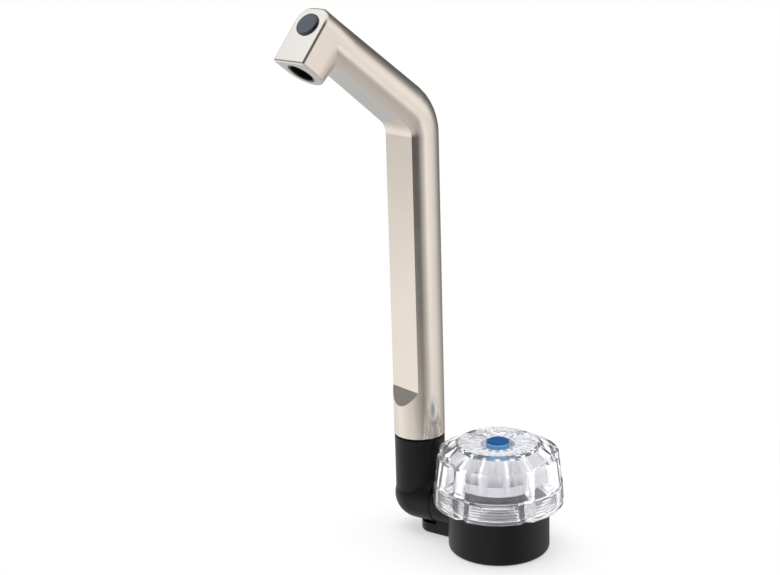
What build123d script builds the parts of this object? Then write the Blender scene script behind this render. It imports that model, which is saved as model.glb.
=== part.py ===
import os
from math import cos, radians, sin, sqrt, tan

from build123d import *

os.makedirs("parts", exist_ok=True)

# Cold water tap with a tall spout that folds down beside its base, in millimetres.
# The origin is the base's axis at its underside, +Z is up and the column stands at -X.

# Clearances
joint_gap = 0.3
knuckle_gap = 0.12
running_clearance = 0.05
fit_clearance = 0.1
seal_clearance = 0.06
socket_clearance = 0.2

# How far a cutter runs past what it cuts
cutter_overrun = 1.0

# Base and neck of the body
base_radius = 17.0
base_height = 18.2
base_foot_fillet = 1.3
base_shoulder_fillet = 0.8
neck_radius = 11.5
neck_top = 24.6

# Side limb, foot and the spigot that the knuckle turns on
limb_height = 12.8
limb_half_width = 4.5
limb_radius = 8.8
limb_top_gap = 0.5
foot_height = 4.0
foot_reach = 30.2
spigot_radius = 4.5
spigot_end_gap = 1.4
spigot_ring_pitch = 1.8
port_radius = 2.2

# Rubber rings: radius of the round section and depth left under it
ring_section = 0.65
spindle_ring_section = 0.5
nozzle_ring_section = 0.4
ring_groove_margin = 0.06
groove_play = 0.2

# Inlet, seat and chamber
insert_radius = 8.0
inlet_bore_radius = 5.72
insert_height = 6.6
insert_flange_radius = 9.4
insert_flange_height = 1.4
seat_web = 1.6
seat_radius = 4.3
seat_hole_radius = 3.0
seat_rise = 1.4
chamber_radius = 8.4
gasket_inner_radius = 11.8
gasket_outer_radius = 15.2
gasket_thickness = 1.6

# Headwork: bonnet, spindle and plunger
bonnet_thread_bottom = 15.8
bonnet_flange_radius = 9.6
bonnet_flange_height = 2.0
bonnet_skirt_radius = 7.2
bonnet_skirt_bottom = 13.6
bonnet_ring_height = 18.6
bonnet_slot_width = 2.4
bonnet_slot_depth = 0.9
plunger_hex_radius = 5.85
plunger_hex_height = 2.9
plunger_lift = 2.5
plunger_stem_radius = 2.5
plunger_stem_height = 6.2
thread_clearance = 0.08
washer_radius = 4.5
washer_thickness = 2.2
washer_squeeze = 0.3
washer_screw_head_radius = 1.9
washer_screw_head_height = 1.1
washer_screw_shank_radius = 1.2
washer_screw_length = 5.0
spindle_radius = 3.9
spindle_flange_radius = 5.1
spindle_flange_height = 1.1
spindle_ring_heights = (20.7, 22.9)
circlip_thickness = 0.6
circlip_rim = 1.3
circlip_groove_depth = 0.7
circlip_mouth = 3.0
spline_count = 20
spline_depth = 0.35
spline_length = 3.7

# Knob, hub, screw and cap
knob_skirt_bottom = 16.7
knob_skirt_radius = 21.9
knob_shoulder_radius = 20.25
knob_crown_radius = 13.3
knob_crown_rise = 3.6
knob_inner_radius = 17.9
knob_inner_top_radius = 16.6
knob_crown_thickness = 2.4
knob_edge_round = 0.5
band_height = 6.7
band_draft = 0.3
band_step = 0.35
inner_ring_margin = 0.2
inner_ring_count = 6
inner_ring_pitch = 1.0
inner_ring_depth = 0.8
lobe_count = 6
lobe_direction = -64.0
groove_skirt_floor = 20.2
groove_shoulder_floor = 18.0
groove_shoulder_drop = 0.7
groove_crown_floor = 12.4
groove_crown_rise = 0.5
groove_opening = 118.0
cap_radius = 3.65
cap_height = 3.4
cap_rise = 0.4
cap_edge = 0.3
cap_screw_gap = 0.3
boss_radius = 5.6
boss_floor = 1.4
ray_count = 18
ray_depth = 0.7
ray_width = 1.3
ray_inner_radius = 6.4
ray_outer_radius = 12.6
hub_radius = 9.8
hub_web = 1.3
hub_rib_count = 12
hub_rib_width = 1.2
hub_rib_depth = 0.6
hub_fin_thickness = 1.0
hub_fin_clearance = 0.4
hub_skirt_gap = 0.3
hub_skirt_thickness = 1.0
hub_skirt_drop = 1.2
knob_screw_radius = 1.9
knob_screw_head_radius = 3.2
knob_screw_head_height = 2.2
knob_screw_slot = 1.0

# Elbow
column_offset = 31.2
knuckle_radius = 9.0
knuckle_bore_radius = 4.7
socket_radius = 8.6
socket_top = 34.5
socket_bore_radius = 6.3
socket_floor = 20.6
socket_rim_chamfer = 0.3
water_bore_radius = 2.6
pin_radius = 0.8
pin_drop = 6.6
pin_rise = 5.4
pin_groove_depth = 1.2
pin_offset = 1.7

# Column, bend and arm of the spout
spout_heading = -106.1
column_radius = 8.7
shell_wall = 1.6
joint_line = 0.4
flat_offset = 5.7
flat_bottom = 51.8
flat_ramp_angle = 29.2
bend_height = 143.9
bend_radius = 11.5
arm_rise = 38.4
arm_length = 51.6
arm_tip_radius = 8.0
arm_flat_offset = 5.2
head_start = 37.8
head_half_width = 7.7
head_top = 7.1
head_corner_radius = 5.3
head_drop = 12.5
head_rear_top = 8.7
head_rear_bottom = 6.9
head_neck_radius = 7.0
head_edge_round = 0.8
head_root_inset = 0.1
head_root_flat = 0.4

# Strip that closes the flat side
cover_half_width = 5.0
cover_thickness = 1.0
cover_ledge = 0.8
cover_bottom = 53.4
cover_arm_end = 34.0

# Waterway, adapter and outlet
tube_radius = 2.6
tube_bore_radius = 1.8
tube_bottom = 41.0
tube_arm_end = 40.6
adapter_plug_top = 46.0
adapter_spigot_bottom = 21.0
adapter_flange_radius = 8.1
adapter_ring_spacing = 3.4
adapter_ring_shift = 0.35
retainer_height = 24.2
retainer_thickness = 1.2
retainer_groove_depth = 1.1
retainer_rim_radius = 6.9
retainer_mouth = 4.0
outlet_setback = 6.4
outlet_radius = 4.65
outlet_seat_depth = 7.6
nozzle_recess = 0.15
nozzle_wall = 0.7
nozzle_mesh_recess = 1.6
nozzle_core_radius = 3.0
nozzle_ring_inset = 1.0
mesh_thickness = 1.2
mesh_hole_radius = 0.42
mesh_pitch = 1.25
mesh_rows = 4
disc_half_width = 4.6
disc_half_height = 3.8
disc_depth = 1.2
disc_proud = 0.7
disc_edge_round = 0.3
disc_rise = 0.9
disc_gap = 0.1

# Heights and places that follow from the sizes above
knuckle_face = -(column_offset - column_radius)
limb_face = knuckle_face + knuckle_gap
limb_top = knob_skirt_bottom - limb_top_gap
spigot_end = -(column_offset - spigot_end_gap)
foot_centre = foot_reach - limb_half_width
web_top = insert_height + seat_web
seat_top = web_top + seat_rise
washer_bottom = seat_top + washer_squeeze
hex_bottom = washer_bottom + washer_thickness
hex_top = hex_bottom + plunger_hex_height
stem_top = hex_top + plunger_stem_height
flange_bottom = hex_top + plunger_lift + joint_gap
flange_top = flange_bottom + spindle_flange_height
stem_bore_top = stem_top + plunger_lift + joint_gap
bonnet_radius = chamber_radius - running_clearance
bonnet_flange_bottom = neck_top - bonnet_flange_height
circlip_bottom = neck_top + fit_clearance
circlip_top = circlip_bottom + circlip_thickness
hub_bottom = circlip_top + fit_clearance
spindle_top = hub_bottom + spline_length
hub_web_bottom = spindle_top + fit_clearance
hub_web_top = hub_web_bottom + hub_web
boss_bottom = hub_web_top + fit_clearance
recess_floor = boss_bottom + boss_floor
screw_head_top = recess_floor + knob_screw_head_height
cap_bottom = screw_head_top + cap_screw_gap
knob_top = cap_bottom + cap_height - cap_rise
knob_shoulder_height = knob_top - knob_crown_rise
groove_shoulder_height = knob_shoulder_height - groove_shoulder_drop
crown_underside = knob_top - knob_crown_thickness
shoulder_underside = knob_shoulder_height - knob_crown_thickness
band_top = knob_skirt_bottom + band_height
band_radius = knob_skirt_radius - band_draft
inner_ring_bottom = knob_skirt_bottom + inner_ring_margin
hub_top = crown_underside - fit_clearance
hub_skirt_radius = neck_radius + hub_skirt_gap
shell_bottom = socket_top + joint_gap + joint_line
bend_turn = 90 - arm_rise
bend_tangent = bend_radius * tan(radians(bend_turn / 2))
bend_start = bend_height - bend_tangent
lobe_angle = 360 / lobe_count
ramp_length = 2 * column_radius
cutter_reach = 3 * column_radius
window_end = cover_arm_end - cover_ledge
head_full = arm_length - outlet_setback

# Directions and planes of the spout
heading = Vector(cos(radians(spout_heading)), sin(radians(spout_heading)), 0)
upright = Vector(0, 0, 1)
column_plane = Plane(origin=(-column_offset, 0, 0), x_dir=heading, z_dir=upright)
spout_plane = Plane(origin=(-column_offset, 0, 0), x_dir=heading, z_dir=heading.cross(upright))
arm_along = (cos(radians(arm_rise)), sin(radians(arm_rise)))
arm_below = (sin(radians(arm_rise)), -cos(radians(arm_rise)))


def arm_point(along, below):
    """Point in the spout plane, given along the arm's axis and below it."""
    return (
        along * arm_along[0] + below * arm_below[0],
        bend_height + along * arm_along[1] + below * arm_below[1],
    )


def spout_point(flat_xy):
    """Point of the part, given as a point in the spout plane."""
    return spout_plane.from_local_coords((flat_xy[0], flat_xy[1], 0))


def spout_direction(flat_xy):
    """Direction of the part, given as a direction in the spout plane."""
    return heading * flat_xy[0] + upright * flat_xy[1]


def arm_plane(along):
    """Plane across the arm, whose X points to the flat side."""
    return Plane(
        origin=spout_point(arm_point(along, 0)),
        x_dir=spout_direction(arm_below),
        z_dir=spout_direction(arm_along),
    )


def outlet_plane(along, below):
    """Plane square to the outlet's axis, whose X points along the arm."""
    return Plane(
        origin=spout_point(arm_point(along, below)),
        x_dir=spout_direction(arm_along),
        z_dir=spout_direction(arm_below),
    )


def flat_corner(depth):
    """Point where the column's flat meets the arm's flat, both set in by depth."""
    near = arm_point(bend_tangent, flat_offset - depth)
    far = arm_point(arm_length, arm_flat_offset - depth)
    share = (flat_offset - depth - near[0]) / (far[0] - near[0])
    return (flat_offset - depth, near[1] + share * (far[1] - near[1]))


def arm_flat_point(along, depth):
    """Point on the arm's flat, set in by depth."""
    share = (along - bend_tangent) / (arm_length - bend_tangent)
    below = flat_offset + share * (arm_flat_offset - flat_offset) - depth
    return arm_point(along, below)


def spout_rod(shaft_radius, tip_radius, bottom, tip, depth):
    """Column, bend and tapering arm, cut flat on the inner side."""
    ramp_run = (sin(radians(flat_ramp_angle)), cos(radians(flat_ramp_angle)))
    ramp_top = flat_bottom - depth * tan(radians(flat_ramp_angle / 2))
    corner = flat_corner(depth)
    bend_centre = spout_point((bend_radius, bend_start))
    bend_axis = Axis(bend_centre, -spout_plane.z_dir)
    with BuildPart() as rod:
        with BuildSketch(column_plane.offset(bottom)):
            Circle(shaft_radius)
        extrude(amount=bend_start - bottom)
        with BuildSketch(column_plane.offset(bend_start)):
            Circle(shaft_radius)
        revolve(axis=bend_axis, revolution_arc=bend_turn)
        with BuildSketch(arm_plane(bend_tangent)):
            Circle(shaft_radius)
        with BuildSketch(arm_plane(head_start)):
            Circle(tip_radius)
        loft()
        if tip > head_start:
            with BuildSketch(arm_plane(head_start)):
                Circle(tip_radius)
            with BuildSketch(arm_plane(tip)):
                Ellipse(head_neck_radius, head_half_width - head_root_inset)
            loft()
        with BuildSketch(spout_plane) as flat_side:
            with BuildLine():
                Polyline(
                    (
                        flat_offset - depth + ramp_run[0] * ramp_length,
                        ramp_top - ramp_run[1] * ramp_length,
                    ),
                    (flat_offset - depth, ramp_top),
                    corner,
                    arm_flat_point(arm_length + cutter_overrun, depth),
                    arm_point(arm_length + cutter_overrun, cutter_reach),
                    close=True,
                )
            make_face()
            fillet(flat_side.vertices().sort_by_distance(corner)[0], bend_radius - flat_offset + depth)
        extrude(amount=2 * column_radius, both=True, mode=Mode.SUBTRACT)
    return rod.part


def flat_strip(half_width, outer_depth, inner_depth, bottom, arm_end):
    """Strip that follows the flat side, between two depths below it."""
    outer_corner = flat_corner(outer_depth)
    inner_corner = flat_corner(inner_depth)
    with BuildPart() as strip:
        with BuildSketch(spout_plane) as side:
            with BuildLine():
                Polyline(
                    (flat_offset - outer_depth, bottom),
                    outer_corner,
                    arm_flat_point(arm_end, outer_depth),
                    arm_flat_point(arm_end, inner_depth),
                    inner_corner,
                    (flat_offset - inner_depth, bottom),
                    close=True,
                )
            make_face()
            fillet(
                side.vertices().sort_by_distance(outer_corner)[0],
                bend_radius - flat_offset + outer_depth,
            )
            fillet(
                side.vertices().sort_by_distance(inner_corner)[0],
                bend_radius - flat_offset + inner_depth,
            )
        extrude(amount=half_width, both=True)
    return strip.part


def rubber_rings(section, bore_radius, planes):
    """Rubber rings that just clear the bore they seal, one on each plane."""
    ring_radius = bore_radius - seal_clearance - section
    with BuildPart() as rings:
        for place in planes:
            section_normal = place.x_dir.cross(place.z_dir)
            with BuildSketch(Plane(origin=place.origin, x_dir=place.x_dir, z_dir=section_normal)):
                with Locations((ring_radius, 0)):
                    Circle(section)
            revolve(axis=Axis(place.origin, place.z_dir))
    return rings.part


def groove_depth(section, bore_radius, shaft_radius):
    """Depth of the groove that holds such a ring on its shaft."""
    root = bore_radius - seal_clearance - 2 * section - ring_groove_margin
    return shaft_radius - root


def groove(place, outer_radius, depth, width):
    """Ring to cut from a shaft, centred on the plane, which leaves a groove."""
    with BuildPart() as ring:
        with BuildSketch(place.offset(-width / 2)):
            Circle(outer_radius + cutter_overrun)
            Circle(outer_radius - depth, mode=Mode.SUBTRACT)
        extrude(amount=width)
    return ring.part


groove_width = 2 * ring_section + groove_play
spigot_groove = groove_depth(ring_section, knuckle_bore_radius, spigot_radius)
spigot_ring_faces = [spigot_end + groove_width, spigot_end + groove_width + spigot_ring_pitch]
spigot_ring_planes = [
    Plane(origin=(x, 0, limb_height), x_dir=(0, 0, 1), z_dir=(-1, 0, 0))
    for x in spigot_ring_faces
]
pin_x = limb_face - pin_offset
pin_plane = Plane(origin=(pin_x, 0, limb_height), x_dir=(0, 0, 1), z_dir=(-1, 0, 0))
pin_y = spigot_radius - pin_groove_depth + fit_clearance + pin_radius
pin_groove_width = 2 * pin_radius + 2 * fit_clearance

# Body: round base, neck for the headwork, side limb, foot and spigot
with BuildPart() as tap_body:
    with BuildSketch():
        Circle(base_radius)
    extrude(amount=base_height)
    fillet(tap_body.edges().sort_by(Axis.Z)[-1], base_shoulder_fillet)
    with BuildSketch(Plane(origin=(0, 0, 0), x_dir=(0, -1, 0), z_dir=(-1, 0, 0))):
        with Locations((0, limb_height)):
            Circle(limb_radius)
        with Locations((0, limb_top + limb_radius)):
            Rectangle(2 * limb_radius, 2 * limb_radius, mode=Mode.SUBTRACT)
        with Locations((0, limb_height / 2)):
            Rectangle(2 * limb_half_width, limb_height)
    extrude(amount=-limb_face)
    with BuildSketch():
        with Locations((-foot_centre / 2, 0)):
            Rectangle(foot_centre, 2 * limb_half_width)
        with Locations((-foot_centre, 0)):
            Circle(limb_half_width)
    extrude(amount=foot_height)
    fillet(tap_body.edges().group_by(Axis.Z)[0], base_foot_fillet)
    with BuildSketch(Plane(origin=(limb_face, 0, limb_height), x_dir=(0, -1, 0), z_dir=(-1, 0, 0))):
        Circle(knuckle_radius + joint_gap)
    extrude(amount=foot_reach, mode=Mode.SUBTRACT)
    with BuildSketch(Plane.XY.offset(base_height)):
        Circle(neck_radius)
    extrude(amount=neck_top - base_height)
    with BuildSketch(Plane(origin=(limb_face, 0, limb_height), x_dir=(0, -1, 0), z_dir=(-1, 0, 0))):
        Circle(spigot_radius)
    extrude(amount=limb_face - spigot_end)
    for ring_plane in spigot_ring_planes:
        add(groove(ring_plane, spigot_radius, spigot_groove, groove_width), mode=Mode.SUBTRACT)
    add(groove(pin_plane, spigot_radius, pin_groove_depth, pin_groove_width), mode=Mode.SUBTRACT)
    with BuildSketch():
        Circle(insert_radius + running_clearance)
    extrude(amount=insert_height, mode=Mode.SUBTRACT)
    with BuildSketch():
        Circle(insert_flange_radius + running_clearance)
    extrude(amount=insert_flange_height, mode=Mode.SUBTRACT)
    with BuildSketch():
        Circle(gasket_outer_radius + running_clearance)
        Circle(gasket_inner_radius - running_clearance, mode=Mode.SUBTRACT)
    extrude(amount=gasket_thickness, mode=Mode.SUBTRACT)
    with BuildSketch(Plane.XY.offset(web_top)):
        Circle(chamber_radius)
        Circle(seat_radius, mode=Mode.SUBTRACT)
    extrude(amount=seat_rise, mode=Mode.SUBTRACT)
    with BuildSketch(Plane.XY.offset(seat_top)):
        Circle(chamber_radius)
    extrude(amount=neck_top - seat_top, mode=Mode.SUBTRACT)
    with BuildSketch(Plane.XY.offset(insert_height)):
        Circle(seat_hole_radius)
    extrude(amount=seat_top - insert_height, mode=Mode.SUBTRACT)
    with BuildSketch(Plane.XY.offset(bonnet_flange_bottom)):
        Circle(bonnet_flange_radius + running_clearance)
    extrude(amount=bonnet_flange_height, mode=Mode.SUBTRACT)
    with BuildSketch(Plane(origin=(-seat_radius, 0, limb_height), x_dir=(0, -1, 0), z_dir=(-1, 0, 0))):
        Circle(port_radius)
    extrude(amount=column_offset, mode=Mode.SUBTRACT)
tap_body.part.label = "tap_body"
export_step(tap_body.part, "parts/tap_body.step")

# Rubber gasket let into the underside of the base
with BuildPart() as base_gasket:
    with BuildSketch():
        Circle(gasket_outer_radius)
        Circle(gasket_inner_radius, mode=Mode.SUBTRACT)
    extrude(amount=gasket_thickness)
base_gasket.part.label = "base_gasket"
export_step(base_gasket.part, "parts/base_gasket.step")

# Brass insert with the inlet's thread bore
with BuildPart() as inlet_insert:
    with BuildSketch():
        Circle(insert_flange_radius)
    extrude(amount=insert_flange_height)
    with BuildSketch(Plane.XY.offset(insert_flange_height)):
        Circle(insert_radius)
    extrude(amount=insert_height - insert_flange_height)
    with BuildSketch():
        Circle(inlet_bore_radius)
    extrude(amount=insert_height, mode=Mode.SUBTRACT)
inlet_insert.part.label = "inlet_insert"
export_step(inlet_insert.part, "parts/inlet_insert.step")

# Two rubber rings on the spigot
with BuildPart() as spigot_rings:
    add(rubber_rings(ring_section, knuckle_bore_radius, spigot_ring_planes))
spigot_rings.part.label = "spigot_rings"
export_step(spigot_rings.part, "parts/spigot_rings.step")

# Brass bonnet screwed into the neck, with a six-sided guide for the plunger
bonnet_ring_plane = Plane.XY.offset(bonnet_ring_height)
bonnet_groove = groove_depth(ring_section, chamber_radius, bonnet_radius)
with BuildPart() as headwork_bonnet:
    with BuildSketch(Plane.XY.offset(bonnet_skirt_bottom)):
        Circle(bonnet_skirt_radius)
    extrude(amount=bonnet_thread_bottom - bonnet_skirt_bottom)
    with BuildSketch(Plane.XY.offset(bonnet_thread_bottom)):
        Circle(bonnet_radius)
    extrude(amount=bonnet_flange_bottom - bonnet_thread_bottom)
    with BuildSketch(Plane.XY.offset(bonnet_flange_bottom)):
        Circle(bonnet_flange_radius)
    extrude(amount=bonnet_flange_height)
    add(groove(bonnet_ring_plane, bonnet_radius, bonnet_groove, groove_width), mode=Mode.SUBTRACT)
    with BuildSketch(Plane.XY.offset(bonnet_skirt_bottom)):
        RegularPolygon(plunger_hex_radius + joint_gap, 6)
    extrude(amount=flange_bottom - bonnet_skirt_bottom, mode=Mode.SUBTRACT)
    with BuildSketch(Plane.XY.offset(bonnet_skirt_bottom)):
        Circle(spindle_flange_radius + fit_clearance)
    extrude(amount=flange_top + fit_clearance - bonnet_skirt_bottom, mode=Mode.SUBTRACT)
    with BuildSketch(Plane.XY.offset(bonnet_skirt_bottom)):
        Circle(spindle_radius + running_clearance)
    extrude(amount=neck_top - bonnet_skirt_bottom, mode=Mode.SUBTRACT)
    with BuildSketch(Plane.XY.offset(neck_top)):
        with PolarLocations(bonnet_flange_radius, 2):
            Rectangle(2 * (bonnet_flange_radius - spindle_flange_radius), bonnet_slot_width)
    extrude(amount=-bonnet_slot_depth, mode=Mode.SUBTRACT)
headwork_bonnet.part.label = "headwork_bonnet"
export_step(headwork_bonnet.part, "parts/headwork_bonnet.step")

# Rubber ring between the bonnet and the neck
with BuildPart() as bonnet_ring:
    add(rubber_rings(ring_section, chamber_radius, [bonnet_ring_plane]))
bonnet_ring.part.label = "bonnet_ring"
export_step(bonnet_ring.part, "parts/bonnet_ring.step")

# Spindle: flange under the bonnet's shoulder, splined head and threaded bores
spindle_ring_planes = [Plane.XY.offset(z) for z in spindle_ring_heights]
spindle_bore = spindle_radius + running_clearance
spindle_groove = groove_depth(spindle_ring_section, spindle_bore, spindle_radius)
spindle_groove_width = 2 * spindle_ring_section + groove_play
circlip_plane = Plane.XY.offset((circlip_bottom + circlip_top) / 2)
circlip_groove_width = circlip_thickness + fit_clearance
with BuildPart() as spindle:
    with BuildSketch(Plane.XY.offset(flange_bottom)):
        Circle(spindle_flange_radius)
    extrude(amount=spindle_flange_height)
    with BuildSketch(Plane.XY.offset(flange_top)):
        Circle(spindle_radius)
    extrude(amount=spindle_top - flange_top)
    for ring_plane in spindle_ring_planes:
        add(groove(ring_plane, spindle_radius, spindle_groove, spindle_groove_width), mode=Mode.SUBTRACT)
    add(
        groove(circlip_plane, spindle_radius, circlip_groove_depth, circlip_groove_width),
        mode=Mode.SUBTRACT,
    )
    with BuildSketch(Plane.XY.offset(hub_bottom + fit_clearance)):
        with PolarLocations(spindle_radius, spline_count):
            Rectangle(2 * spline_depth, 2 * spline_depth, rotation=45)
    extrude(amount=spline_length - fit_clearance, mode=Mode.SUBTRACT)
    with BuildSketch(Plane.XY.offset(flange_bottom)):
        Circle(plunger_stem_radius + thread_clearance)
    extrude(amount=stem_bore_top - flange_bottom, mode=Mode.SUBTRACT)
    with BuildSketch(Plane.XY.offset(stem_bore_top)):
        Circle(knob_screw_radius)
    extrude(amount=spindle_top - stem_bore_top, mode=Mode.SUBTRACT)
spindle.part.label = "spindle"
export_step(spindle.part, "parts/spindle.step")

# Two rubber rings on the spindle
with BuildPart() as spindle_rings:
    add(rubber_rings(spindle_ring_section, spindle_bore, spindle_ring_planes))
spindle_rings.part.label = "spindle_rings"
export_step(spindle_rings.part, "parts/spindle_rings.step")

# Open clip that keeps the spindle in the bonnet
with BuildPart() as spindle_circlip:
    with BuildSketch(Plane.XY.offset(circlip_bottom)):
        Circle(spindle_radius + circlip_rim)
        Circle(spindle_radius - circlip_groove_depth, mode=Mode.SUBTRACT)
        with Locations((0, spindle_radius)):
            Rectangle(circlip_mouth, 2 * circlip_rim + spindle_radius, mode=Mode.SUBTRACT)
    extrude(amount=circlip_thickness)
spindle_circlip.part.label = "spindle_circlip"
export_step(spindle_circlip.part, "parts/spindle_circlip.step")

# Plunger: six-sided head and the stem that screws into the spindle
with BuildPart() as plunger:
    with BuildSketch(Plane.XY.offset(hex_bottom)):
        RegularPolygon(plunger_hex_radius, 6)
    extrude(amount=plunger_hex_height)
    with BuildSketch(Plane.XY.offset(hex_top)):
        Circle(plunger_stem_radius)
    extrude(amount=plunger_stem_height)
    with BuildSketch(Plane.XY.offset(hex_bottom)):
        Circle(washer_screw_shank_radius)
    extrude(amount=washer_screw_length - washer_thickness, mode=Mode.SUBTRACT)
plunger.part.label = "plunger"
export_step(plunger.part, "parts/plunger.step")

# Rubber washer that shuts on the seat
with BuildPart() as valve_washer:
    with BuildSketch(Plane.XY.offset(washer_bottom)):
        Circle(washer_radius)
        Circle(washer_screw_shank_radius, mode=Mode.SUBTRACT)
    extrude(amount=washer_thickness)
valve_washer.part.label = "valve_washer"
export_step(valve_washer.part, "parts/valve_washer.step")

# Screw that holds the washer to the plunger
with BuildPart() as washer_screw:
    with BuildSketch(Plane.XY.offset(washer_bottom - washer_screw_head_height)):
        Circle(washer_screw_head_radius)
    extrude(amount=washer_screw_head_height)
    with BuildSketch(Plane.XY.offset(washer_bottom)):
        Circle(washer_screw_shank_radius)
    extrude(amount=washer_screw_length)
washer_screw.part.label = "washer_screw"
export_step(washer_screw.part, "parts/washer_screw.step")

# Clear knob: banded skirt with rings inside, six lobes with faceted grooves, rays under the crown
inner_rings = [
    (knob_inner_radius + inner_ring_depth * (step % 2), inner_ring_bottom + step * inner_ring_pitch / 2)
    for step in range(2 * inner_ring_count + 1)
]
skirt_corner = (knob_skirt_radius, knob_skirt_bottom)
shoulder_corner = (knob_shoulder_radius, knob_shoulder_height)
groove_sections = (
    (knob_skirt_bottom, groove_skirt_floor),
    (groove_shoulder_height, groove_shoulder_floor),
    (knob_top + groove_crown_rise, groove_crown_floor),
)
with BuildPart() as knob:
    with BuildSketch(Plane.XZ) as knob_profile:
        with BuildLine():
            Polyline(
                (knob_inner_radius, knob_skirt_bottom),
                skirt_corner,
                (band_radius, band_top),
                (band_radius - band_step, band_top + band_step),
                shoulder_corner,
                (knob_crown_radius, knob_top),
                (cap_radius + fit_clearance, knob_top),
                (cap_radius + fit_clearance, recess_floor),
                (knob_screw_radius + fit_clearance, recess_floor),
                (knob_screw_radius + fit_clearance, boss_bottom),
                (boss_radius, boss_bottom),
                (boss_radius, crown_underside),
                (knob_crown_radius, crown_underside),
                (knob_inner_top_radius, shoulder_underside),
                *reversed(inner_rings),
                close=True,
            )
        make_face()
        for corner in (skirt_corner, shoulder_corner):
            fillet(knob_profile.vertices().sort_by_distance(corner)[0], knob_edge_round)
    revolve(axis=Axis.Z)
    for index in range(lobe_count):
        turn = lobe_direction + (index + 0.5) * lobe_angle
        outward = Vector(cos(radians(turn)), sin(radians(turn)), 0)
        for height, floor in groove_sections:
            reach = knob_skirt_radius + cutter_overrun - floor
            root = outward * floor + upright * height
            with BuildSketch(Plane(origin=root, x_dir=outward, z_dir=upright)):
                with BuildLine():
                    Polyline(
                        (0, 0),
                        (reach, reach * tan(radians(groove_opening / 2))),
                        (reach, -reach * tan(radians(groove_opening / 2))),
                        close=True,
                    )
                make_face()
        loft(ruled=True, mode=Mode.SUBTRACT)
    with BuildSketch(Plane.XY.offset(crown_underside)):
        with PolarLocations((ray_inner_radius + ray_outer_radius) / 2, ray_count):
            Rectangle(ray_outer_radius - ray_inner_radius, ray_width)
    extrude(amount=ray_depth, mode=Mode.SUBTRACT)
knob.part.label = "knob"
export_step(knob.part, "parts/knob.step")

# Ribbed hub that joins the knob to the spindle's splines, with fins and a skirt round the neck
with BuildPart() as knob_hub:
    with BuildSketch(Plane.XY.offset(hub_bottom)):
        Circle(hub_radius)
    extrude(amount=hub_top - hub_bottom)
    with BuildSketch(Plane.XY.offset(hub_bottom)):
        with PolarLocations(hub_radius, hub_rib_count, start_angle=lobe_direction):
            Rectangle(2 * hub_rib_depth, hub_rib_width)
    extrude(amount=hub_top - hub_bottom, mode=Mode.SUBTRACT)
    for index in range(hub_rib_count):
        turn = lobe_direction + (index + 0.5) * 360 / hub_rib_count
        outward = Vector(cos(radians(turn)), sin(radians(turn)), 0)
        with BuildSketch(Plane(origin=(0, 0, 0), x_dir=outward, z_dir=outward.cross(upright))):
            with BuildLine():
                Polyline(
                    (hub_radius - hub_rib_depth, hub_bottom),
                    (knob_inner_top_radius - hub_fin_clearance, hub_bottom),
                    (knob_inner_top_radius - hub_fin_clearance, shoulder_underside),
                    (knob_crown_radius - hub_fin_clearance, hub_top),
                    (hub_radius - hub_rib_depth, hub_top),
                    close=True,
                )
            make_face()
        extrude(amount=hub_fin_thickness / 2, both=True)
    with BuildSketch(Plane.XY.offset(neck_top - hub_skirt_drop)):
        Circle(hub_skirt_radius + hub_skirt_thickness)
        Circle(hub_skirt_radius, mode=Mode.SUBTRACT)
    extrude(amount=hub_bottom + hub_skirt_thickness - neck_top + hub_skirt_drop)
    with BuildSketch(Plane.XY.offset(hub_web_top)):
        Circle(boss_radius + fit_clearance)
    extrude(amount=crown_underside - hub_web_top, mode=Mode.SUBTRACT)
    with BuildSketch(Plane.XY.offset(hub_bottom)):
        Circle(spindle_radius + fit_clearance)
    extrude(amount=hub_web_bottom - hub_bottom, mode=Mode.SUBTRACT)
    with BuildSketch(Plane.XY.offset(hub_web_bottom)):
        Circle(knob_screw_radius + fit_clearance)
    extrude(amount=hub_web, mode=Mode.SUBTRACT)
knob_hub.part.label = "knob_hub"
export_step(knob_hub.part, "parts/knob_hub.step")

# Screw under the cap, with a slotted head
with BuildPart() as knob_screw:
    with BuildSketch(Plane.XY.offset(recess_floor)):
        Circle(knob_screw_head_radius)
    extrude(amount=knob_screw_head_height)
    with BuildSketch(Plane.XY.offset(stem_bore_top)):
        Circle(knob_screw_radius)
    extrude(amount=recess_floor - stem_bore_top)
    with BuildSketch(Plane.XY.offset(screw_head_top)):
        Rectangle(2 * knob_screw_head_radius, knob_screw_slot)
    extrude(amount=-knob_screw_slot, mode=Mode.SUBTRACT)
knob_screw.part.label = "knob_screw"
export_step(knob_screw.part, "parts/knob_screw.step")

# Blue cap that marks cold water
with BuildPart() as cold_cap:
    with BuildSketch(Plane.XY.offset(cap_bottom)):
        Circle(cap_radius)
    extrude(amount=cap_height)
    fillet(cold_cap.edges().sort_by(Axis.Z)[-1], cap_edge)
cold_cap.part.label = "cold_cap"
export_step(cold_cap.part, "parts/cold_cap.step")

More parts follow.
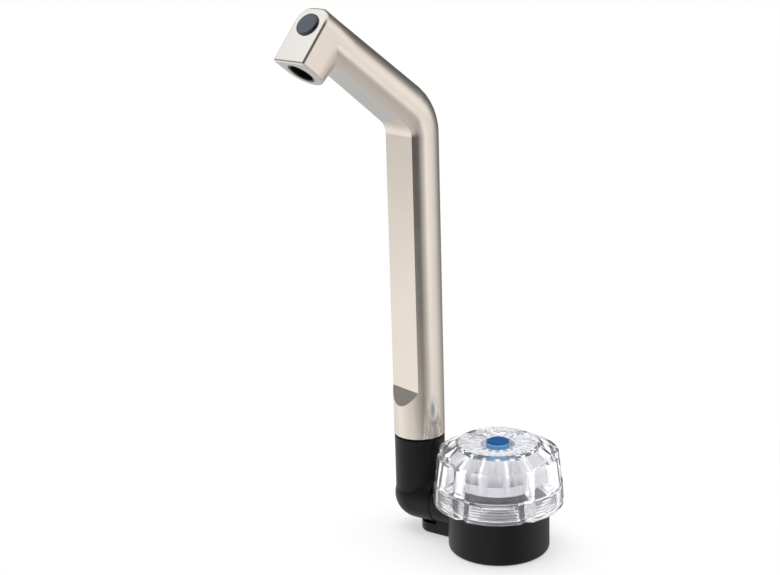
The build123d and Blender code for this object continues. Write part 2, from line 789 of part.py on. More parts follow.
# Elbow: knuckle on the spigot, with the spout's socket above it
with BuildPart() as elbow:
    with BuildSketch(Plane.XZ):
        with BuildLine():
            Line((-column_offset - knuckle_radius, limb_height), (knuckle_face, limb_height))
            Line((knuckle_face, limb_height), (knuckle_face, limb_height + knuckle_radius))
            Line(
                (knuckle_face, limb_height + knuckle_radius),
                (-column_offset, limb_height + knuckle_radius),
            )
            CenterArc((-column_offset, limb_height), knuckle_radius, 90, 90)
        make_face()
    revolve(axis=Axis((0, 0, limb_height), (1, 0, 0)))
    with BuildSketch(column_plane.offset(limb_height)):
        Circle(socket_radius)
    extrude(amount=socket_top - limb_height)
    chamfer(elbow.edges().sort_by(Axis.Z)[-1], socket_rim_chamfer)
    with BuildSketch(Plane(origin=(knuckle_face, 0, limb_height), x_dir=(0, -1, 0), z_dir=(-1, 0, 0))):
        Circle(knuckle_bore_radius)
    extrude(amount=knuckle_face - spigot_end + joint_gap, mode=Mode.SUBTRACT)
    with BuildSketch(Plane(origin=(knuckle_face, 0, limb_height), x_dir=(0, -1, 0), z_dir=(-1, 0, 0))):
        Circle(water_bore_radius)
    extrude(amount=knuckle_face + column_offset + cutter_overrun, mode=Mode.SUBTRACT)
    with BuildSketch(column_plane.offset(limb_height - cutter_overrun)):
        Circle(water_bore_radius)
    extrude(amount=socket_floor - limb_height + cutter_overrun, mode=Mode.SUBTRACT)
    with BuildSketch(column_plane.offset(socket_floor)):
        Circle(socket_bore_radius)
    extrude(amount=socket_top - socket_floor, mode=Mode.SUBTRACT)
    with BuildSketch(column_plane.offset(retainer_height - retainer_thickness / 2 - joint_gap)):
        Circle(retainer_rim_radius + joint_gap)
    extrude(amount=retainer_thickness + 2 * joint_gap, mode=Mode.SUBTRACT)
    with BuildSketch(Plane.XY.offset(limb_height + pin_rise)):
        with Locations((pin_x, pin_y), (pin_x, -pin_y)):
            Circle(pin_radius)
    extrude(amount=-(pin_rise + knuckle_radius), mode=Mode.SUBTRACT)
elbow.part.label = "elbow"
export_step(elbow.part, "parts/elbow.step")

# Two pins that hold the elbow on the spigot and let it turn
with BuildPart() as elbow_pins:
    with BuildSketch(Plane.XY.offset(limb_height - pin_drop)):
        with Locations((pin_x, pin_y), (pin_x, -pin_y)):
            Circle(pin_radius)
    extrude(amount=pin_drop + pin_rise)
elbow_pins.part.label = "elbow_pins"
export_step(elbow_pins.part, "parts/elbow_pins.step")

# Adapter at the foot of the spout: plug in the column, flange and spigot in the socket
adapter_spigot_radius = socket_bore_radius - socket_clearance
adapter_ring_middle = (retainer_height + socket_top) / 2 + adapter_ring_shift
adapter_ring_planes = [
    column_plane.offset(adapter_ring_middle - adapter_ring_spacing / 2),
    column_plane.offset(adapter_ring_middle + adapter_ring_spacing / 2),
]
adapter_groove = groove_depth(ring_section, socket_bore_radius, adapter_spigot_radius)
retainer_plane = column_plane.offset(retainer_height)
retainer_groove_width = retainer_thickness + 2 * running_clearance
with BuildPart() as spout_adapter:
    with BuildSketch(column_plane.offset(adapter_spigot_bottom)):
        Circle(adapter_spigot_radius)
    extrude(amount=socket_top + joint_gap - adapter_spigot_bottom)
    with BuildSketch(column_plane.offset(socket_top + joint_gap)):
        Circle(adapter_flange_radius)
    extrude(amount=joint_line)
    with BuildSketch(column_plane.offset(shell_bottom)):
        Circle(column_radius - shell_wall - running_clearance)
    extrude(amount=adapter_plug_top - shell_bottom)
    for ring_plane in adapter_ring_planes:
        add(groove(ring_plane, adapter_spigot_radius, adapter_groove, groove_width), mode=Mode.SUBTRACT)
    add(
        groove(retainer_plane, adapter_spigot_radius, retainer_groove_depth, retainer_groove_width),
        mode=Mode.SUBTRACT,
    )
    with BuildSketch(column_plane.offset(adapter_spigot_bottom)):
        Circle(tube_bore_radius)
    extrude(amount=tube_bottom - adapter_spigot_bottom, mode=Mode.SUBTRACT)
    with BuildSketch(column_plane.offset(tube_bottom)):
        Circle(tube_radius + running_clearance)
    extrude(amount=adapter_plug_top - tube_bottom, mode=Mode.SUBTRACT)
spout_adapter.part.label = "spout_adapter"
export_step(spout_adapter.part, "parts/spout_adapter.step")

# Two rubber rings on the adapter's spigot
with BuildPart() as adapter_rings:
    add(rubber_rings(ring_section, socket_bore_radius, adapter_ring_planes))
adapter_rings.part.label = "adapter_rings"
export_step(adapter_rings.part, "parts/adapter_rings.step")

# Open ring that snaps into the socket and holds the spout in it
with BuildPart() as spout_retainer:
    with BuildSketch(column_plane.offset(retainer_height - retainer_thickness / 2)):
        Circle(retainer_rim_radius)
        Circle(adapter_spigot_radius - retainer_groove_depth + running_clearance, mode=Mode.SUBTRACT)
        with Locations((-retainer_rim_radius, 0)):
            Rectangle(retainer_rim_radius, retainer_mouth, mode=Mode.SUBTRACT)
    extrude(amount=retainer_thickness)
spout_retainer.part.label = "spout_retainer"
export_step(spout_retainer.part, "parts/spout_retainer.step")


def head_outline(half_width, top, corner):
    """Upper half of the head's outline, with rounded corners."""
    bevel = corner * sqrt(0.5)
    with BuildSketch() as outline:
        with BuildLine():
            Line((0, -half_width), (corner - top, -half_width))
            ThreePointArc(
                (corner - top, -half_width),
                (corner - top - bevel, corner - half_width - bevel),
                (-top, corner - half_width),
            )
            Line((-top, corner - half_width), (-top, half_width - corner))
            ThreePointArc(
                (-top, half_width - corner),
                (corner - top - bevel, half_width - corner + bevel),
                (corner - top, half_width),
            )
            Line((corner - top, half_width), (0, half_width))
            Line((0, half_width), (0, -half_width))
        make_face()
    return outline.sketch


def head_plan(rear):
    """Head seen along the outlet: straight sides, flat front and a half-round rear."""
    with BuildSketch() as plan:
        with Locations((-outlet_setback / 2, 0)):
            Rectangle(outlet_setback, 2 * head_half_width)
        with Locations((-outlet_setback, 0)):
            Ellipse(rear, head_half_width)
        with Locations((head_half_width, 0)):
            Rectangle(2 * head_half_width, 2 * head_half_width, mode=Mode.SUBTRACT)
    return plan.sketch


head_root = arm_tip_radius - head_root_inset
window_half_width = cover_half_width - cover_ledge

# Spout shell: column, bend and arm with a head block, hollow and open on the flat side
with BuildPart() as spout_shell:
    add(spout_rod(column_radius, arm_tip_radius, shell_bottom, head_full, 0))
    with BuildSketch(arm_plane(head_start)):
        add(head_outline(head_root, head_root, head_root - head_root_flat))
    with BuildSketch(arm_plane(head_full)):
        add(head_outline(head_half_width, head_top, head_corner_radius))
    loft(ruled=True)
    with BuildSketch(arm_plane(head_full)):
        add(head_outline(head_half_width, head_top, head_corner_radius))
    extrude(amount=outlet_setback)
    with BuildSketch(outlet_plane(arm_length, 0)):
        add(head_plan(head_rear_top))
    with BuildSketch(outlet_plane(arm_length, head_drop)):
        add(head_plan(head_rear_bottom))
    loft(ruled=True)
    front_point = spout_point(arm_point(arm_length, 0))
    foot_point = spout_point(arm_point(head_full, head_drop))
    head_front = spout_shell.faces().sort_by_distance(front_point)[0].edges()
    head_foot = spout_shell.faces().sort_by_distance(foot_point)[0].edges()
    fillet(head_front + [edge for edge in head_foot if edge not in head_front], head_edge_round)
    add(
        spout_rod(
            column_radius - shell_wall,
            arm_tip_radius - shell_wall,
            shell_bottom,
            head_start,
            shell_wall,
        ),
        mode=Mode.SUBTRACT,
    )
    add(flat_strip(cover_half_width, 0, cover_thickness, cover_bottom, cover_arm_end), mode=Mode.SUBTRACT)
    add(
        flat_strip(
            window_half_width,
            0,
            shell_wall + cutter_overrun,
            cover_bottom + cover_ledge,
            window_end,
        ),
        mode=Mode.SUBTRACT,
    )
    with BuildSketch(arm_plane(window_end)):
        Circle(tube_radius + running_clearance)
    extrude(amount=tube_arm_end - window_end, mode=Mode.SUBTRACT)
    with BuildSketch(arm_plane(tube_arm_end)):
        Circle(tube_bore_radius)
    extrude(amount=head_full - tube_arm_end, mode=Mode.SUBTRACT)
    with BuildSketch(outlet_plane(head_full, head_drop)):
        Circle(outlet_radius)
    extrude(amount=-outlet_seat_depth, mode=Mode.SUBTRACT)
    with BuildSketch(outlet_plane(head_full, head_drop)):
        Circle(nozzle_core_radius)
    extrude(amount=-(head_drop + tube_bore_radius), mode=Mode.SUBTRACT)
    with BuildSketch(arm_plane(arm_length)):
        with Locations((-disc_rise, 0)):
            Ellipse(disc_half_height, disc_half_width)
    extrude(amount=-disc_depth, mode=Mode.SUBTRACT)
spout_shell.part.label = "spout_shell"
export_step(spout_shell.part, "parts/spout_shell.step")

# Strip that closes the flat side of the shell
with BuildPart() as spout_cover:
    add(flat_strip(cover_half_width, 0, cover_thickness, cover_bottom, cover_arm_end))
spout_cover.part.label = "spout_cover"
export_step(spout_cover.part, "parts/spout_cover.step")

# Water tube inside the spout, from the adapter to the head
with BuildPart() as water_tube:
    with BuildSketch(column_plane.offset(tube_bottom)):
        Circle(tube_radius)
        Circle(tube_bore_radius, mode=Mode.SUBTRACT)
    extrude(amount=bend_start - tube_bottom)
    with BuildSketch(column_plane.offset(bend_start)):
        Circle(tube_radius)
        Circle(tube_bore_radius, mode=Mode.SUBTRACT)
    revolve(
        axis=Axis(spout_point((bend_radius, bend_start)), -spout_plane.z_dir),
        revolution_arc=bend_turn,
    )
    with BuildSketch(arm_plane(bend_tangent)):
        Circle(tube_radius)
        Circle(tube_bore_radius, mode=Mode.SUBTRACT)
    extrude(amount=tube_arm_end - bend_tangent)
water_tube.part.label = "water_tube"
export_step(water_tube.part, "parts/water_tube.step")

# Black outlet insert
nozzle_radius = outlet_radius - running_clearance
nozzle_length = outlet_seat_depth - nozzle_recess
mesh_radius = nozzle_radius - nozzle_wall - running_clearance
mesh_bottom = head_drop - nozzle_recess - nozzle_mesh_recess
nozzle_ring_plane = outlet_plane(head_full, head_drop - outlet_seat_depth + nozzle_ring_inset)
nozzle_groove = groove_depth(nozzle_ring_section, outlet_radius, nozzle_radius)
nozzle_groove_width = 2 * nozzle_ring_section + groove_play
with BuildPart() as nozzle_insert:
    with BuildSketch(outlet_plane(head_full, head_drop - nozzle_recess)):
        Circle(nozzle_radius)
        Circle(nozzle_core_radius, mode=Mode.SUBTRACT)
    extrude(amount=-nozzle_length)
    with BuildSketch(outlet_plane(head_full, head_drop - nozzle_recess)):
        Circle(nozzle_radius - nozzle_wall)
    extrude(amount=-(nozzle_mesh_recess + mesh_thickness), mode=Mode.SUBTRACT)
    add(groove(nozzle_ring_plane, nozzle_radius, nozzle_groove, nozzle_groove_width), mode=Mode.SUBTRACT)
nozzle_insert.part.label = "nozzle_insert"
export_step(nozzle_insert.part, "parts/nozzle_insert.step")

# Rubber ring round the outlet insert
with BuildPart() as nozzle_ring:
    add(rubber_rings(nozzle_ring_section, outlet_radius, [nozzle_ring_plane]))
nozzle_ring.part.label = "nozzle_ring"
export_step(nozzle_ring.part, "parts/nozzle_ring.step")

# Perforated disc that calms the jet
with BuildPart() as flow_disc:
    with BuildSketch(outlet_plane(head_full, mesh_bottom)):
        Circle(mesh_radius)
        with HexLocations(mesh_pitch / sqrt(3), mesh_rows, mesh_rows):
            Circle(mesh_hole_radius, mode=Mode.SUBTRACT)
    extrude(amount=-mesh_thickness)
flow_disc.part.label = "flow_disc"
export_step(flow_disc.part, "parts/flow_disc.step")

# Plain oval disc let into the front of the head, standing a little proud of it
with BuildPart() as end_disc:
    with BuildSketch(arm_plane(arm_length - disc_depth)):
        with Locations((-disc_rise, 0)):
            Ellipse(disc_half_height - disc_gap, disc_half_width - disc_gap)
    extrude(amount=disc_depth + disc_proud)
    fillet(end_disc.edges().sort_by(Axis((0, 0, 0), spout_direction(arm_along)))[-1], disc_edge_round)
end_disc.part.label = "end_disc"
export_step(end_disc.part, "parts/end_disc.step")
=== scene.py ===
import math

import bmesh
import bpy
from mathutils import Matrix, Vector


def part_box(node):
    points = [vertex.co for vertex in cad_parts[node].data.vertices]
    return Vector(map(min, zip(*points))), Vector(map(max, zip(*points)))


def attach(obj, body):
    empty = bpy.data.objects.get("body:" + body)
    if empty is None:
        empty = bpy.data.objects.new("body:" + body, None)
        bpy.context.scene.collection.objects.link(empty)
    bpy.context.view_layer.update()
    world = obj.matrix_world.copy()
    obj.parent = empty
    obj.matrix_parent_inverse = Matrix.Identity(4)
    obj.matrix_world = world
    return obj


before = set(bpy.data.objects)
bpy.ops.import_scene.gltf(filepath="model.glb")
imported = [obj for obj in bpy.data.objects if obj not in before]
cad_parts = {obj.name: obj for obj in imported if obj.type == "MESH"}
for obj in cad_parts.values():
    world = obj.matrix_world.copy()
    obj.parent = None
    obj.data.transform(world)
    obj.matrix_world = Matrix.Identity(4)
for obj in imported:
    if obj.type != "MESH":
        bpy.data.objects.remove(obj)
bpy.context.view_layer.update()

# Camera at the photograph's place and lens: metres, degrees, and millimetres for the lens
CAMERA_PLACE = (0.2384, -0.3987, 0.21965)
CAMERA_TURN = 35.1
CAMERA_PITCH = 15.46
CAMERA_ROLL = 1.76
CAMERA_LENS = 68.89
SENSOR_WIDTH = 36.0
CLIP_START = 0.01
CLIP_END = 20

# Floor in metres, whole up to the first distance of the fade and gone at the second
FLOOR_SIZE = 6.0
FLOOR_FADE = (0.07, 0.17)
FLOOR_COLOUR = (0.44, 0.44, 0.44, 1)
FLOOR_ROUGHNESS = 0.6
FLOOR_GLOW = 0.54

# Area lights: place, target and size in metres, and power in watts
KEY_LIGHT = ((-0.20, -0.10, 0.90), (0, 0, 0.02), (0.6, 0.6), 2.6)
FILL_LIGHT = ((0, 0, 1.5), (0, 0, 0), (2.5, 2.5), 16.0)

# White of the backdrop, its strength through the acrylic, and the tint of the cool zones
WHITE = (1, 1, 1, 1)
THROUGH_LEVEL = 1.45
COOL = (0.93, 1.00, 1.08)


def cool(level):
    """Faintly blue light of that level."""
    return tuple(level * share for share in COOL)


# Light from around: elevation of a ring, then azimuth and level along it, in degrees
RINGS = (
    (-60, ((-180, 0.62), (180, 0.62))),
    (-27, (
        (-180, 0.92), (-157, 1.06), (-140, 1.08), (-110, 1.00), (-72, 1.15), (-55, 0.95),
        (-37, 0.50), (-14, 0.50), (6, 0.50), (20, 0.82), (40, 0.86), (62, 0.70), (88, 0.45),
        (110, 0.50), (136, cool(0.50)), (150, cool(0.64)), (166, 0.86), (180, 0.92),
    )),
    (-15, (
        (-180, 0.92), (-157, 1.08), (-130, 0.92), (-110, 0.78), (-90, 0.60), (-66, 0.20),
        (-34, 0.15), (-13, 0.62), (5, 1.20), (20, 0.98), (46, 0.76), (66, 0.50), (88, 0.28),
        (110, 0.25), (122, 0.90), (150, 1.00), (180, 0.92),
    )),
    (-11, (
        (-180, 0.85), (-157, 0.77), (-125, 0.72), (-90, 0.45), (-66, 0.06), (-34, 0.05),
        (-13, 0.60), (4, 1.20), (18, 0.96), (30, 0.94), (46, 0.75), (66, 0.42), (88, 0.20),
        (110, 0.14), (120, 0.95), (150, 1.00), (180, 0.85),
    )),
    (4, (
        (-180, 0.45), (-150, 0.22), (-110, 0.30), (-66, 0.08), (-20, 0.20), (4, 0.72),
        (24, 1.02), (40, 1.12), (52, 1.00), (66, 0.45), (84, 0.14), (108, 0.12), (126, 0.20),
        (150, 0.50), (180, 0.45),
    )),
    (23, (
        (-180, 0.66), (-155, 0.22), (-125, 0.14), (-60, 0.10), (-16, 0.14), (10, 0.70),
        (50, 0.90), (64, 0.34), (90, 0.14), (110, 0.12), (130, 0.20), (152, 0.40),
        (180, cool(0.66)),
    )),
    (35, (
        (-180, cool(1.34)), (-156, cool(0.95)), (-132, 0.14), (-80, 0.10), (-20, 0.10),
        (10, 0.60), (50, 0.80), (75, 0.35), (110, 0.25), (140, 0.30), (162, 0.60),
        (174, cool(1.30)), (180, cool(1.34)),
    )),
    (58, (
        (-180, 1.05), (-150, 0.80), (-125, 0.15), (-30, 0.15), (10, 0.85), (60, 0.80),
        (84, 0.25), (140, 0.25), (168, 0.95), (180, 1.05),
    )),
    (75, ((-180, 1.10), (180, 1.10))),
)

# Noise of each material: a soft drift, in cells per metre, and a fine grain
DRIFT_SCALE = 60.0
DRIFT_DETAIL = 4.0
GRAIN_DETAIL = 2.0
GRAIN_STRENGTH = 0.5
NOISE_ROUGHNESS = 0.5

# Part of each in the gloss, and the noise levels that span the colours and the gloss
DRIFT_SHARE = 0.6
GRAIN_SHARE = 0.4
COLOUR_SPAN = (0.3, 0.7)
GLOSS_SPAN = (0.25, 0.75)

# Painted light: a lit blue film in the acrylic round the cap, in metres, and the steps of its
# mesh
CAP_SIDE_GAP = 0.00012
CAP_SIDE_WALL = 0.00012
CAP_SIDE_EDGE = CAP_SIDE_WALL / 3
CAP_SIDE_DEPTH = 0.0062
CAP_SIDE_INSET = 0.00005
TUBE_STEPS = 96
RIM_BENDS = (0, 30, 60, 90)


def camera():
    """Camera turned about the upright, pitched down and rolled as the photograph's."""
    turn, pitch, roll = (math.radians(a) for a in (CAMERA_TURN, CAMERA_PITCH, CAMERA_ROLL))
    forward = Vector((
        -math.sin(turn) * math.cos(pitch), math.cos(turn) * math.cos(pitch), -math.sin(pitch),
    ))
    level = Vector((math.cos(turn), math.sin(turn), 0))
    up = level.cross(forward)
    right = level * math.cos(roll) - up * math.sin(roll)
    top = level * math.sin(roll) + up * math.cos(roll)
    axes = Matrix((right, top, -forward)).transposed()
    data = bpy.data.cameras.new("camera")
    data.lens = CAMERA_LENS
    data.sensor_width = SENSOR_WIDTH
    data.clip_start = CLIP_START
    data.clip_end = CLIP_END
    obj = bpy.data.objects.new("camera", data)
    obj.matrix_world = Matrix.Translation(CAMERA_PLACE) @ axes.to_4x4()
    bpy.context.collection.objects.link(obj)
    bpy.context.scene.camera = obj


class Nodes:
    """A material's or world's node tree, with short ways to add and join nodes."""

    def __init__(self, owner):
        owner.use_nodes = True
        self.tree = owner.node_tree
        self.tree.nodes.clear()

    def add(self, kind, **values):
        """New node of that kind, with its own settings."""
        node = self.tree.nodes.new(kind)
        for name, value in values.items():
            setattr(node, name, value)
        return node

    def join(self, source, target):
        """Link from an output to an input."""
        self.tree.links.new(source, target)

    def math(self, operation, first, second):
        """Result of the operation on two numbers or outputs."""
        node = self.add("ShaderNodeMath", operation=operation)
        for socket, value in zip(node.inputs, (first, second)):
            if isinstance(value, (int, float)):
                socket.default_value = value
            else:
                self.join(value, socket)
        return node.outputs[0]

    def ramp(self, factor, stops, mode="LINEAR"):
        """Colour that follows the factor through the stops, each a place and a colour."""
        node = self.add("ShaderNodeValToRGB")
        node.color_ramp.interpolation = mode
        points = node.color_ramp.elements
        while len(points) > 1:
            points.remove(points[-1])
        points[0].position, points[0].color = stops[0][0], (*stops[0][1], 1)
        for place, colour in stops[1:]:
            points.new(place).color = (*colour, 1)
        self.join(factor, node.inputs[0])
        return node.outputs[0]

    def noise(self, scale, detail):
        """Noise in the part's own coordinates, in cells per metre."""
        place = self.add("ShaderNodeTexCoord")
        texture = self.add("ShaderNodeTexNoise")
        texture.inputs["Scale"].default_value = scale
        texture.inputs["Detail"].default_value = detail
        texture.inputs["Roughness"].default_value = NOISE_ROUGHNESS
        self.join(place.outputs["Object"], texture.inputs["Vector"])
        return texture.outputs["Fac"]

    def spread(self, factor, low, high):
        """The noise's usual levels spread over low..high."""
        node = self.add("ShaderNodeMapRange")
        node.inputs["From Min"].default_value, node.inputs["From Max"].default_value = GLOSS_SPAN
        node.inputs["To Min"].default_value = low
        node.inputs["To Max"].default_value = high
        self.join(factor, node.inputs["Value"])
        return node.outputs[0]

    def bump(self, height, strength, distance):
        """Normal that follows the height, with the distance in metres."""
        node = self.add("ShaderNodeBump")
        node.inputs["Strength"].default_value = strength
        node.inputs["Distance"].default_value = distance
        self.join(height, node.inputs["Height"])
        return node.outputs[0]

    def blend(self, factor, first, second, kind="ShaderNodeMixShader"):
        """Mix of two shaders, or of two colours: the first at factor 0, the second at 1."""
        node = self.add(kind)
        for socket, source in zip(node.inputs, (factor, first, second)):
            self.join(source, socket)
        return node.outputs[0]


def surface(name, dark, light, roughness, grain, grain_depth, metallic=0.0, **sockets):
    """Material whose colour and gloss drift softly and whose skin has a fine grain."""
    material = bpy.data.materials.new(name)
    nodes = Nodes(material)
    shader = nodes.add("ShaderNodeBsdfPrincipled")
    output = nodes.add("ShaderNodeOutputMaterial")
    nodes.join(shader.outputs[0], output.inputs["Surface"])
    drift = nodes.noise(DRIFT_SCALE, DRIFT_DETAIL)
    colours = tuple(zip(COLOUR_SPAN, (dark, light)))
    nodes.join(nodes.ramp(drift, colours), shader.inputs["Base Color"])
    fine = nodes.noise(grain, GRAIN_DETAIL)
    slow = nodes.math("MULTIPLY", drift, DRIFT_SHARE)
    quick = nodes.math("MULTIPLY", fine, GRAIN_SHARE)
    gloss = nodes.math("ADD", slow, quick)
    nodes.join(nodes.spread(gloss, *roughness), shader.inputs["Roughness"])
    nodes.join(nodes.bump(fine, GRAIN_STRENGTH, grain_depth), shader.inputs["Normal"])
    shader.inputs["Metallic"].default_value = metallic
    for socket, value in sockets.items():
        shader.inputs[socket.replace("_", " ")].default_value = value
    return material


def ring_light(nodes, turn, height):
    """Colour from the rings: each by its azimuth, and smoothly from one to the next above."""
    shade = below = None
    for elevation, zones in RINGS:
        stops = [
            ((degrees + 180) / 360, level if isinstance(level, tuple) else (level, level, level))
            for degrees, level in zones
        ]
        ring = nodes.ramp(turn, stops, "EASE")
        if shade is None:
            shade, below = ring, elevation
            continue
        step = nodes.add("ShaderNodeMapRange", interpolation_type="SMOOTHSTEP")
        step.inputs["From Min"].default_value = math.sin(math.radians(below))
        step.inputs["From Max"].default_value = math.sin(math.radians(elevation))
        nodes.join(height, step.inputs["Value"])
        shade = nodes.blend(step.outputs[0], shade, ring, "ShaderNodeMixRGB")
        below = elevation
    return shade


def studio():
    """World light: a pale studio with a few darker zones, which the metal mirrors."""
    world = bpy.data.worlds.new("studio")
    bpy.context.scene.world = world
    nodes = Nodes(world)
    place = nodes.add("ShaderNodeTexCoord")
    split = nodes.add("ShaderNodeSeparateXYZ")
    nodes.join(place.outputs["Generated"], split.inputs[0])
    azimuth = nodes.math("ARCTAN2", split.outputs["Y"], split.outputs["X"])
    turn = nodes.math("ADD", nodes.math("DIVIDE", azimuth, 2 * math.pi), 0.5)
    light = nodes.add("ShaderNodeBackground")
    nodes.join(ring_light(nodes, turn, split.outputs["Z"]), light.inputs["Color"])
    through = nodes.add("ShaderNodeBackground")
    through.inputs["Color"].default_value = WHITE
    through.inputs["Strength"].default_value = THROUGH_LEVEL
    backdrop = nodes.add("ShaderNodeBackground")
    backdrop.inputs["Color"].default_value = WHITE
    ray = nodes.add("ShaderNodeLightPath").outputs
    lit = nodes.blend(ray["Is Transmission Ray"], light.outputs[0], through.outputs[0])
    seen = nodes.blend(ray["Is Camera Ray"], lit, backdrop.outputs[0])
    output = nodes.add("ShaderNodeOutputWorld")
    nodes.join(seen, output.inputs["Surface"])


def soft_light(name, place, target, size, power):
    """Area light that faces the target and shows in no mirror."""
    data = bpy.data.lights.new(name, "AREA")
    data.shape = "RECTANGLE"
    data.size, data.size_y = size
    data.energy = power
    obj = bpy.data.objects.new(name, data)
    obj.location = place
    aim = Vector(target) - Vector(place)
    obj.rotation_euler = aim.to_track_quat("-Z", "Y").to_euler()
    obj.visible_glossy = False
    bpy.context.collection.objects.link(obj)
    return obj


def tube(name, centre, inner, outer, bottom, top, edge):
    """Upright tube with rounded rims, in mesh code."""
    # Centre of each rounding in the profile, and the angle in degrees where it starts
    corners = (
        (outer - edge, top - edge, 90),
        (outer - edge, bottom + edge, 0),
        (inner + edge, bottom + edge, -90),
        (inner + edge, top - edge, 180),
    )
    profile = []
    for radius, height, start in corners:
        for bend in RIM_BENDS:
            angle = math.radians(start - bend)
            profile.append((radius + edge * math.cos(angle), height + edge * math.sin(angle)))
    rings = []
    mesh = bmesh.new()
    for step in range(TUBE_STEPS):
        turn = 2 * math.pi * step / TUBE_STEPS
        across, along = math.cos(turn), math.sin(turn)
        rings.append([
            mesh.verts.new((centre[0] + r * across, centre[1] + r * along, z)) for r, z in profile
        ])
    for step, here in enumerate(rings):
        there = rings[(step + 1) % TUBE_STEPS]
        for index in range(len(profile)):
            follow = (index + 1) % len(profile)
            mesh.faces.new((here[index], there[index], there[follow], here[follow]))
    bmesh.ops.recalc_face_normals(mesh, faces=mesh.faces)
    for face in mesh.faces:
        face.smooth = True
    data = bpy.data.meshes.new(name)
    mesh.to_mesh(data)
    mesh.free()
    obj = bpy.data.objects.new(name, data)
    bpy.context.collection.objects.link(obj)
    return obj


def floor():
    """Pale floor that fades into the backdrop away from the tap."""
    half = FLOOR_SIZE / 2
    corners = [(-half, -half, 0), (half, -half, 0), (half, half, 0), (-half, half, 0)]
    mesh = bpy.data.meshes.new("floor")
    mesh.from_pydata(corners, [], [(0, 1, 2, 3)])
    obj = bpy.data.objects.new("floor", mesh)
    bpy.context.collection.objects.link(obj)
    material = bpy.data.materials.new("floor")
    nodes = Nodes(material)
    shader = nodes.add("ShaderNodeBsdfPrincipled")
    shader.inputs["Base Color"].default_value = FLOOR_COLOUR
    shader.inputs["Roughness"].default_value = FLOOR_ROUGHNESS
    shader.inputs["Emission Color"].default_value = WHITE
    shader.inputs["Emission Strength"].default_value = FLOOR_GLOW
    clear = nodes.add("ShaderNodeBsdfTransparent")
    place = nodes.add("ShaderNodeTexCoord")
    length = nodes.add("ShaderNodeVectorMath", operation="LENGTH")
    nodes.join(place.outputs["Object"], length.inputs[0])
    fade = nodes.add("ShaderNodeMapRange", interpolation_type="SMOOTHSTEP")
    fade.inputs["From Min"].default_value, fade.inputs["From Max"].default_value = FLOOR_FADE
    nodes.join(length.outputs["Value"], fade.inputs["Value"])
    seen = nodes.blend(fade.outputs[0], shader.outputs[0], clear.outputs[0])
    output = nodes.add("ShaderNodeOutputMaterial")
    nodes.join(seen, output.inputs["Surface"])
    mesh.materials.append(material)
    obj.visible_glossy = False


camera()
studio()
floor()
soft_light("key", *KEY_LIGHT)
fill = soft_light("fill", *FILL_LIGHT)
fill.visible_transmission = False

# Each material: its two colours, its least and most roughness, and its grain in cells per
# metre with the grain's depth in metres
nickel = surface(
    "nickel", (0.77, 0.69, 0.61), (0.82, 0.74, 0.66), (0.19, 0.26), 2600, 0.000003,
    metallic=1.0,
)
black = surface(
    "black plastic", (0.005, 0.005, 0.005), (0.008, 0.008, 0.008), (0.34, 0.44), 1800, 0.00001,
    Specular_IOR_Level=0.24,
)
inner_black = surface(
    "inner black", (0.006, 0.006, 0.006), (0.012, 0.012, 0.012), (0.22, 0.35), 1500, 0.00001,
)
acrylic = surface(
    "clear acrylic", (0.955, 0.955, 0.985), (0.985, 0.985, 1.0), (0.0, 0.03), 300, 0.000005,
    Transmission_Weight=0.95, IOR=1.49,
)
frosted = surface(
    "frosted hub", (0.92, 0.93, 0.94), (0.96, 0.96, 0.98), (0.25, 0.4), 900, 0.00002,
    Transmission_Weight=0.15, IOR=1.46,
)
blue = surface(
    "blue cap", (0.008, 0.085, 0.29), (0.013, 0.105, 0.34), (0.30, 0.42), 1200, 0.00001,
    Specular_IOR_Level=0.2,
)
# Painted light: a lighter copy of the cap's blue, for its side lit through the acrylic
painted_light_blue = surface(
    "painted light blue edge", (0.10, 0.48, 0.94), (0.14, 0.54, 0.98), (0.35, 0.5), 1200, 0.00001,
    Specular_IOR_Level=0.3,
)
navy = surface(
    "dark disc", (0.036, 0.046, 0.062), (0.048, 0.060, 0.078), (0.22, 0.34), 1500, 0.00001,
)
brass = surface(
    "brass", (0.58, 0.40, 0.15), (0.70, 0.51, 0.22), (0.22, 0.38), 2200, 0.00001,
    metallic=1.0,
)
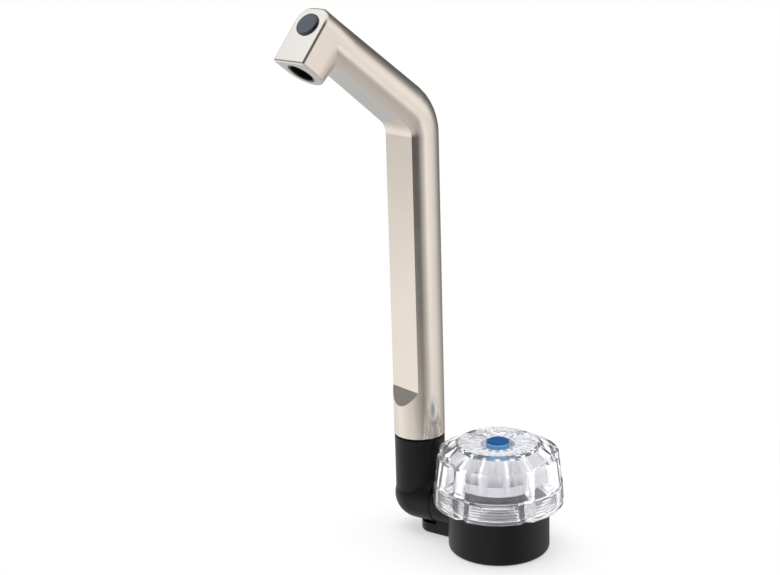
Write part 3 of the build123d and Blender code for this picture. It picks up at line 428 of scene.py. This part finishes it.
steel = surface(
    "steel", (0.48, 0.48, 0.49), (0.60, 0.60, 0.61), (0.25, 0.38), 2400, 0.00001,
    metallic=1.0,
)
rubber = surface(
    "rubber", (0.010, 0.010, 0.010), (0.020, 0.020, 0.020), (0.55, 0.75), 1500, 0.00003,
)
acetal = surface(
    "white acetal", (0.66, 0.66, 0.63), (0.78, 0.78, 0.75), (0.35, 0.5), 1500, 0.00002,
)
tube_plastic = surface(
    "tube plastic", (0.60, 0.62, 0.64), (0.72, 0.74, 0.76), (0.3, 0.42), 1500, 0.00002,
)

looks = {
    "tap_body": black, "base_gasket": rubber, "inlet_insert": brass, "spigot_rings": rubber,
    "headwork_bonnet": brass, "bonnet_ring": rubber, "spindle": brass, "spindle_rings": rubber,
    "spindle_circlip": steel, "plunger": brass, "valve_washer": rubber, "washer_screw": steel,
    "knob": acrylic, "knob_hub": frosted, "knob_screw": steel, "cold_cap": blue,
    "elbow": black, "elbow_pins": steel, "spout_adapter": inner_black, "adapter_rings": rubber,
    "spout_retainer": acetal, "spout_shell": nickel, "spout_cover": nickel,
    "water_tube": tube_plastic, "nozzle_insert": inner_black, "nozzle_ring": rubber,
    "flow_disc": inner_black, "end_disc": navy,
}
for name, material in looks.items():
    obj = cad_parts[name]
    if not obj.material_slots:
        obj.data.materials.append(material)
    for slot in obj.material_slots:
        slot.material = material

# The acrylic lets the lights through to the hub and the floor
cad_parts["knob"].visible_shadow = False

# Painted light: a lighter blue film for the cap's side, lit through the acrylic round it
cap_low, cap_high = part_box("cold_cap")
knob_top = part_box("knob")[1][2]
cap_middle = ((cap_low[0] + cap_high[0]) / 2, (cap_low[1] + cap_high[1]) / 2)
film_inner = (cap_high[0] - cap_low[0]) / 2 + CAP_SIDE_GAP
film_outer = film_inner + CAP_SIDE_WALL
film_low, film_high = cap_high[2] - CAP_SIDE_DEPTH, knob_top - CAP_SIDE_INSET
painted_light_cap_side = tube(
    "painted_light_cap_side", cap_middle, film_inner, film_outer, film_low, film_high, CAP_SIDE_EDGE,
)
painted_light_cap_side.data.materials.append(painted_light_blue)
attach(painted_light_cap_side, "knob")

scene = bpy.context.scene
scene.view_settings.view_transform = "Standard"
